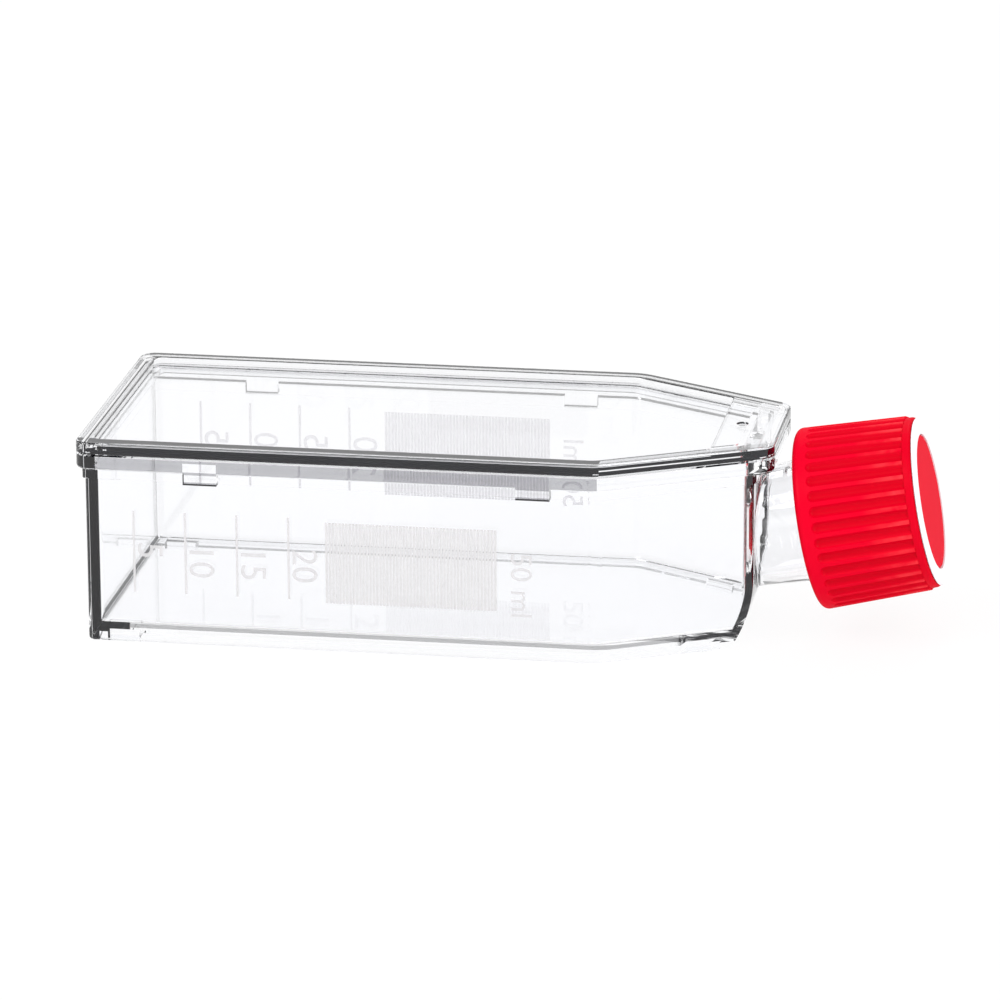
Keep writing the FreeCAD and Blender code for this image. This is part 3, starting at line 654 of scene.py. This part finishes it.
def clear_plastic(look):
    """Polished clear polystyrene, whose edges read dark."""
    made, s = material("clear_polystyrene")
    place = s.place()
    inside = s.node("ShaderNodeNewGeometry", output="Backfacing")
    turned = s.node("ShaderNodeFresnel", None, {"IOR": look.clear_index})
    grazing = s.node("ShaderNodeLayerWeight", None, {"Blend": 0.5}, "Facing") > GRAZING
    spot = Spot(s, place, inside)
    caught = inside * light_caught(look, spot, turned, grazing)
    welded = spot.level * spot.at_height(SEAM) * spot.inset.between(*WELD)
    rim_foot = spot.level * (spot.z > PLATE_FOOT - NEAR) * spot.near_side * (spot.side > GUIDE_FROM)
    guided = inside * rim_foot * (turned > ALL_TURNED) * (1.0 - grazing)
    foot_end = spot.endwise * (spot.z < FLOOR_FOOT) * (spot.x > 0.0)
    # painted shade: the base colour turns grey on the flange's outer faces and the tabs' lower edges, for
    # light lost inside the plastic
    tint = s.mix(flange_shade(look, spot, inside), rgba(look.clear_tint), rgba(look.flange_painted_shade))
    flow = s.noise(place, size=9.0 * MM, detail=1.0)
    haze = s.noise(place, size=2.5 * MM, detail=3.0)
    glass = s.principled(
        {
            "Base Color": tint,
            "Roughness": haze * 0.02,
            "IOR": look.clear_index,
            "Transmission Weight": 1.0,
            "Normal": s.bump(flow, depth=0.02 * MM, strength=0.25),
        }
    )
    lost = s.node("ShaderNodeBsdfDiffuse", None, {"Color": rgba(look.edge_dark)})
    joined = s.node("ShaderNodeBsdfTransparent", None, {"Color": rgba(WHITE)})
    through = s.node("ShaderNodeBsdfTransparent", None, {"Color": rgba(LAMP_THROUGH)})
    seen = s.blend(welded.most(guided, foot_end), s.blend(caught, glass, lost), joined)
    s.surface(s.blend(s.node("ShaderNodeLightPath", output="Is Shadow Ray"), seen, through))
    return made


def red_plastic(look):
    """Semi-gloss moulded polyethylene: painted shade deepens the red in the grooves, a painted highlight
    pales the crests.
    """
    made, s = material("cap_red")
    place = s.place()
    flow = s.noise(place, size=6.0 * MM, detail=3.0)
    grain = s.noise(place, size=0.16 * MM, detail=2.0)
    gloss_and_highlight_patches = s.noise(place, size=2.0 * MM, detail=4.0)
    start, along = cap_axis()
    run = s.vector("DOT_PRODUCT", s.vector("SUBTRACT", place, start), along, output=1)
    radius = s.off_axis(place, start, along) + run * CAP_LEAN
    # painted shade: the red deepens from the crests down into the grooves, where shade would fall
    crest = s.ramp(radius, look.groove_radius, look.crest_radius)
    plain = crest.most(radius < look.groove_radius - CAP_PLAIN)
    # painted highlight: the crests pale towards the closed end, broken into patches
    crest_highlight = s.ramp(run, look.highlight_start, look.highlight_end) * s.ramp(crest, low=0.6, high=1.0)
    crest_highlight = crest_highlight * s.ramp(gloss_and_highlight_patches, low=0.3, high=0.6) * 0.6
    red = s.mix(plain, rgba(look.cap_deep_and_shaded_red), rgba(look.cap_red))
    red = s.mix(flow * 0.3, red, rgba(look.cap_deep_and_shaded_red))
    red = s.mix(crest_highlight, red, rgba(look.crest_highlight_red))
    wave = s.bump(grain + flow * 3.0, depth=0.006 * MM, strength=0.5)
    matt = s.principled({"Base Color": red, "Roughness": 0.6, "Specular IOR Level": 0.0, "Normal": wave})
    sheen = s.node("ShaderNodeBsdfGlossy", None, {"Roughness": 0.26 + gloss_and_highlight_patches * 0.14, "Normal": wave})
    gloss = s.node("ShaderNodeFresnel", None, {"IOR": 1.5}) * look.cap_gloss
    s.surface(s.blend(gloss, matt, sheen))
    return made


def white_plastic(look):
    """Smooth white polyethylene."""
    made, s = material("ring_white")
    place = s.place()
    flow = s.noise(place, size=3.0 * MM, detail=2.0)
    sockets = {
        "Base Color": s.mix(flow * 0.4, rgba(look.ring_white), rgba(look.ring_white, 0.93)),
        "Roughness": 0.32 + flow * 0.1,
        "Normal": s.bump(s.noise(place, size=0.2 * MM), depth=0.004 * MM, strength=0.5),
    }
    s.surface(s.principled(sockets))
    return made


def membrane_paper(look):
    """Felted filter membrane."""
    made, s = material("membrane_white")
    fibres = s.noise(s.place(), size=0.12 * MM, detail=5.0, roughness=0.7)
    sockets = {
        "Base Color": s.mix(fibres, rgba(look.membrane_white, 0.85), rgba(look.membrane_white)),
        "Roughness": 0.85,
        "Normal": s.bump(fibres, depth=0.02 * MM, strength=0.6),
    }
    s.surface(s.principled(sockets))
    return made


def printed_ink(look):
    """Thin pale ink that lets a little of what lies behind it through, uneven as a screen print is."""
    made, s = material("scale_ink")
    place = s.place()
    cover = s.noise(place, size=0.35 * MM, detail=3.0)
    far_side = s.node("ShaderNodeSeparateXYZ", None, {0: place}, "Y") > 0.0
    near_light, far_light = (rgba(look.ink, light) for light in (look.near_ink_light, look.far_ink_light))
    sockets = {
        "Base Color": s.mix(cover, rgba(look.ink, 0.95), rgba(look.ink)),
        "Emission Color": s.mix(far_side, near_light, far_light),
        "Emission Strength": 1.0,
        "Roughness": 0.6,
        "Specular IOR Level": 0.1,
        "Alpha": look.ink_cover - 0.05 + cover * 0.1,
        "Normal": s.bump(cover, depth=0.01 * MM, strength=0.5),
    }
    s.surface(s.principled(sockets))
    return made


# --------------------------------------------------------------------------------------------------
# Printed shapes


def wall_face(x, z, side):
    """Where the long wall's outer face lies here; side is -1 for the near wall, 1 for the far one."""
    start = Vector((x, side * HIGH.y * 2, z))
    hit, point, _, _ = NODES["flask_body"].ray_cast(start, Vector((0, -side, 0)))
    if not hit:
        raise RuntimeError("the print lies off the wall")
    return point.y


def slab(mesh, x0, x1, z0, z1, y, thick, side):
    """Adds a thin plate that lies on a long wall."""
    centre = Vector(((x0 + x1) / 2, y + side * (INK_GAP + thick / 2), (z0 + z1) / 2))
    size = Matrix.Diagonal((x1 - x0, thick, z1 - z0, 1.0))
    bmesh.ops.create_cube(mesh, size=1.0, matrix=Matrix.Translation(centre) @ size)


def printed_piece(name, mesh, finish):
    """Turns a finished mesh into a piece that rides on the flask."""
    bmesh.ops.recalc_face_normals(mesh, faces=mesh.faces)
    data = bpy.data.meshes.new(name)
    mesh.to_mesh(data)
    mesh.free()
    piece = bpy.data.objects.new(name, data)
    bpy.context.scene.collection.objects.link(piece)
    paint(piece, finish)
    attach(piece, "flask")
    return piece


def write(mesh, words, x, z, size, y, thick, side):
    """Adds lettering whose tops point to the neck, starting at this place and height."""
    curve = bpy.data.curves.new("lettering", "FONT")
    curve.body = words
    curve.extrude = LETTER_HALF
    holder = bpy.data.objects.new("lettering", curve)
    bpy.context.scene.collection.objects.link(holder)
    bpy.context.view_layer.update()
    evaluated = holder.evaluated_get(bpy.context.evaluated_depsgraph_get())
    letters = bpy.data.meshes.new_from_object(evaluated)
    bpy.data.objects.remove(holder)
    bpy.data.curves.remove(curve)
    top = max(v.co.y for v in letters.vertices)
    length = max(v.co.x for v in letters.vertices)
    scale = size / top
    start = z if side < 0 else z - length * scale
    for v in letters.vertices:
        along, up, _ = v.co * scale
        depth = INK_GAP + (v.co.z + LETTER_HALF) * thick
        v.co = (x + up, y + side * depth, start + side * along)
    mesh.from_mesh(letters)
    bpy.data.meshes.remove(letters)


def sides(scale):
    """The two long walls: name, side, and how far along and up the print moves."""
    return (("near", -1, 0.0, 0.0), ("far", 1, scale.far_shift, scale.far_rise))


# --------------------------------------------------------------------------------------------------
# Operators


class FLASK_OT_clear_plastic(bpy.types.Operator):
    """Gives the flask and its welded top their polished clear plastic"""

    bl_idname = "flask.clear_plastic"
    bl_label = "Clear plastic"

    def execute(self, context):
        finish = clear_plastic(context.scene.flask_finish)
        for node in ("flask_body", "top_plate"):
            paint(NODES[node], finish)
        return {"FINISHED"}


class FLASK_OT_cap(bpy.types.Operator):
    """Gives the screw cap and the disc in it their red plastic"""

    bl_idname = "flask.cap"
    bl_label = "Red cap"

    def execute(self, context):
        finish = red_plastic(context.scene.flask_finish)
        for node in ("cap_shell", "cap_disc"):
            paint(NODES[node], finish)
        return {"FINISHED"}


class FLASK_OT_vent(bpy.types.Operator):
    """Gives the vent ring its white plastic and the filter its felt"""

    bl_idname = "flask.vent"
    bl_label = "Vent ring and filter"

    def execute(self, context):
        look = context.scene.flask_finish
        paint(NODES["vent_ring"], white_plastic(look))
        paint(NODES["filter_membrane"], membrane_paper(look))
        return {"FINISHED"}


class FLASK_OT_scale(bpy.types.Operator):
    """Prints the graduation marks, their figures and the full volume on both long walls"""

    bl_idname = "flask.scale"
    bl_label = "Printed scale"

    def execute(self, context):
        scale = context.scene.flask_scale
        finish = printed_ink(context.scene.flask_finish)
        for name, side, along, up in sides(scale):
            marks, figures = bmesh.new(), bmesh.new()
            low, high, top = scale.mark_low + up, scale.mark_high + up, scale.figure_top + up
            for place in range(scale.mark_count):
                x = HEEL_EDGE + scale.first_mark + along + place * scale.mark_spacing
                y = wall_face(x, low, side)
                half = scale.mark_width / 2
                slab(marks, x - half, x + half, low, high, y, scale.ink_depth, side)
                words = str((place + 1) * scale.mark_step)
                start = x + scale.figure_gap
                write(figures, words, start, top, scale.figure_size, y, scale.ink_depth, side)
            x, top = HEEL_EDGE + scale.legend_start + along, scale.legend_top + up
            words = f"{scale.full_volume} ml"
            y = wall_face(x, top, side)
            write(figures, words, x, top, scale.legend_size, y, scale.ink_depth, side)
            printed_piece(f"scale_marks_{name}", marks, finish)
            printed_piece(f"scale_figures_{name}", figures, finish)
        return {"FINISHED"}


class FLASK_OT_writing_block(bpy.types.Operator):
    """Prints the finely lined block for notes on both long walls"""

    bl_idname = "flask.writing_block"
    bl_label = "Writing block"

    def execute(self, context):
        scale = context.scene.flask_scale
        finish = printed_ink(context.scene.flask_finish)
        length = scale.block_end - scale.block_start
        count = round(length / scale.block_pitch)
        for name, side, along, up in sides(scale):
            lines = bmesh.new()
            low, high = scale.block_low + up, scale.block_high + up
            for place in range(count):
                x = HEEL_EDGE + scale.block_start + along + place * length / count
                y = wall_face(x, low, side)
                slab(lines, x, x + scale.block_pitch * BLOCK_LINE, low, high, y, scale.ink_depth, side)
            printed_piece(f"writing_block_{name}", lines, finish)
        return {"FINISHED"}


class FLASK_OT_stage(bpy.types.Operator):
    """Sets the flask on a plain pale floor under soft studio light, and places the camera"""

    bl_idname = "flask.stage"
    bl_label = "Stage"

    def execute(self, context):
        studio = context.scene.flask_studio
        lay_floor(studio)
        light_room(context.scene, studio)
        place_camera(context.scene, studio)
        context.scene.view_settings.view_transform = "Standard"
        follow_light(context.scene.cycles)
        return {"FINISHED"}


# --------------------------------------------------------------------------------------------------
# Stage


def shown_white(s):
    """1 for rays that show the surroundings themselves, straight, by gloss or through clear plastic."""
    ray = s.node("ShaderNodeLightPath", output="Is Camera Ray")
    seen = ray + ray.out("Is Glossy Ray") + ray.out("Is Transmission Ray")
    return seen > 0.5


def follow_light(cycles):
    """Lets light run on along the inside of a plastic wall until it comes out."""
    cycles.max_bounces = 32
    cycles.glossy_bounces = 24
    cycles.transmission_bounces = 24
    cycles.transparent_max_bounces = 16


def lay_floor(studio):
    made, s = material("studio_floor")
    lit = s.node("ShaderNodeBsdfDiffuse", None, {"Color": rgba(studio.floor_colour)})
    white = s.node("ShaderNodeEmission", None, {"Color": rgba(WHITE), "Strength": 1.0})
    s.surface(s.blend(shown_white(s) * (1.0 - studio.floor_shade), lit, white))
    data = bpy.data.meshes.new("floor")
    corners = ((-1, -1), (1, -1), (1, 1), (-1, 1))
    corners = [(x * FLOOR_REACH, y * FLOOR_REACH, LOW.z - FLOOR_GAP) for x, y in corners]
    data.from_pydata(corners, [], [(0, 1, 2, 3)])
    floor = bpy.data.objects.new("floor", data)
    bpy.context.scene.collection.objects.link(floor)
    paint(floor, made)


def light_room(scene, studio):
    world = bpy.data.worlds.new("studio")
    world.use_nodes = True
    scene.world = world
    s = Shader(world.node_tree)
    height = s.node("ShaderNodeTexCoord", output="Generated")
    height = s.node("ShaderNodeSeparateXYZ", None, {0: height}, "Z")
    span = {"From Min": CEILING[0], "From Max": CEILING[1], "To Min": 1.0, "To Max": CEILING_LEVEL}
    ceiling = s.node("ShaderNodeMapRange", None, {"Value": height, **span})
    camera_ray = s.node("ShaderNodeLightPath", output="Is Camera Ray")
    shown = shown_white(s)
    seen = shown * (camera_ray + ceiling * (1.0 - camera_ray))
    level = (1.0 - shown) * studio.room_level + seen
    room = s.node("ShaderNodeBackground", None, {"Color": rgba(WHITE), "Strength": level})
    s.surface(room, "ShaderNodeOutputWorld")
    for name, place, size, power in LAMPS:
        data = bpy.data.lights.new(name, "AREA")
        data.shape = "DISK"
        data.size = size
        data.energy = power * studio.lamp_level
        lamp = bpy.data.objects.new(name, data)
        lamp.location = place
        lamp.rotation_euler = (-Vector(place)).to_track_quat("-Z", "Y").to_euler()
        scene.collection.objects.link(lamp)


def place_camera(scene, studio):
    around, rise = studio.azimuth, studio.elevation
    back_x, back_y = math.sin(around) * math.cos(rise), -math.cos(around) * math.cos(rise)
    back = Vector((back_x, back_y, math.sin(rise)))
    right = Vector((math.cos(around), math.sin(around), 0.0))
    up = back.cross(right)
    turn = Matrix.Rotation(studio.roll, 3, back)
    frame_axes = Matrix((turn @ right, turn @ up, back)).transposed()
    data = bpy.data.cameras.new("camera")
    data.lens = studio.lens
    data.sensor_width = SENSOR_WIDTH
    data.clip_start, data.clip_end = CLIP
    camera = bpy.data.objects.new("camera", data)
    place = Vector(studio.target) + back * studio.distance
    camera.matrix_world = Matrix.Translation(place) @ frame_axes.to_4x4()
    scene.collection.objects.link(camera)
    scene.camera = camera


# --------------------------------------------------------------------------------------------------
# Panel and registration


class FLASK_PT_panel(bpy.types.Panel):
    bl_label = "Cell culture flask"
    bl_space_type = "VIEW_3D"
    bl_region_type = "UI"
    bl_category = "Flask"

    def draw(self, context):
        for group in GROUPS:
            settings = getattr(context.scene, group)
            box = self.layout.box()
            for name in settings.__annotations__:
                box.prop(settings, name)
        for step in STEPS:
            self.layout.operator(step.bl_idname)


GROUPS = {"flask_finish": FlaskFinish, "flask_scale": FlaskScale, "flask_studio": FlaskStudio}
STEPS = (
    FLASK_OT_clear_plastic,
    FLASK_OT_cap,
    FLASK_OT_vent,
    FLASK_OT_scale,
    FLASK_OT_writing_block,
    FLASK_OT_stage,
)


def register():
    for made in (*GROUPS.values(), *STEPS, FLASK_PT_panel):
        bpy.utils.register_class(made)
    for name, group in GROUPS.items():
        setattr(bpy.types.Scene, name, PointerProperty(type=group))


def unregister():
    for name in GROUPS:
        delattr(bpy.types.Scene, name)
    for made in (FLASK_PT_panel, *reversed(STEPS), *GROUPS.values()):
        bpy.utils.unregister_class(made)


def main():
    register()
    bpy.ops.flask.clear_plastic()
    bpy.ops.flask.cap()
    bpy.ops.flask.vent()
    bpy.ops.flask.scale()
    bpy.ops.flask.writing_block()
    bpy.ops.flask.stage()


if __name__ == "__main__":
    main()
